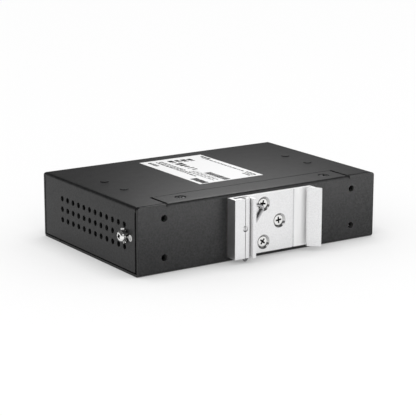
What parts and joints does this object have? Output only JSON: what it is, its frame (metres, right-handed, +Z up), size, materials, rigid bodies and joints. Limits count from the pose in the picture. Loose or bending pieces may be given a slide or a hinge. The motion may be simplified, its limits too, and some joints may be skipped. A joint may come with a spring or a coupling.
{
  "type": "power over ethernet extender",
  "caption": "Black folded-metal network power extender: sockets on one long side, a spring rail clip screwed to the other, vented ends and an earth screw.",
  "frame": {"origin": "middle of the housing's underside", "axes": "+X along the housing, +Y from the rail clip to the sockets, +Z up through the label face"},
  "size_m": [0.1226, 0.0865, 0.029],
  "materials": {
    "black_coat": "fine matt powder coat",
    "clip_metal": "bare extruded aluminium",
    "plated_steel": "bright zinc plate",
    "black_steel": "black oxide",
    "spring_steel": "drawn spring wire",
    "label_film": "printed film",
    "board_laminate": "green solder resist",
    "black_plastic": "moulded",
    "socket_shield": "nickel plate",
    "contact_metal": "gold flash",
    "lens_plastic": "clear moulded",
    "pad_rubber": "soft thermal pad",
    "sink_metal": "anodised",
    "ferrite": "sintered ferrite",
    "winding_wire": "enamelled copper wire",
    "can_metal": "drawn can"
  },
  "bodies": {
    "root": {"chassis_shell": "black_coat", "rear_cover": "black_coat", "flap_screws": "black_steel", "din_clip": "clip_metal", "clip_screws": "plated_steel", "clip_spring_wire": "spring_steel", "ground_screw": "plated_steel", "ground_lock_washer": "plated_steel", "ground_nut": "plated_steel", "rating_label": "label_film", "board_standoffs": "black_steel", "circuit_board": "board_laminate", "board_screws": "plated_steel", "in_jack_housing": "black_plastic", "in_jack_shield": "socket_shield", "in_jack_contacts": "contact_metal", "in_jack_lamp_lenses": "lens_plastic", "out_jack_housing": "black_plastic", "out_jack_shield": "socket_shield", "out_jack_contacts": "contact_metal", "out_jack_lamp_lenses": "lens_plastic", "status_lamp": "black_plastic", "lamp_light_pipe": "lens_plastic", "switch_chip": "black_plastic", "heat_pad": "pad_rubber", "chip_heat_sink": "sink_metal", "line_transformers": "black_plastic", "transformer_core": "ferrite", "transformer_bobbin": "black_plastic", "transformer_winding": "winding_wire", "capacitor_cans": "can_metal", "capacitor_bases": "black_plastic", "power_inductors": "ferrite", "port_transistors": "black_plastic", "bridge_rectifiers": "black_plastic", "power_source_chip": "black_plastic", "powered_device_chip": "black_plastic", "crystal": "can_metal"}
  },
  "joints": []
}
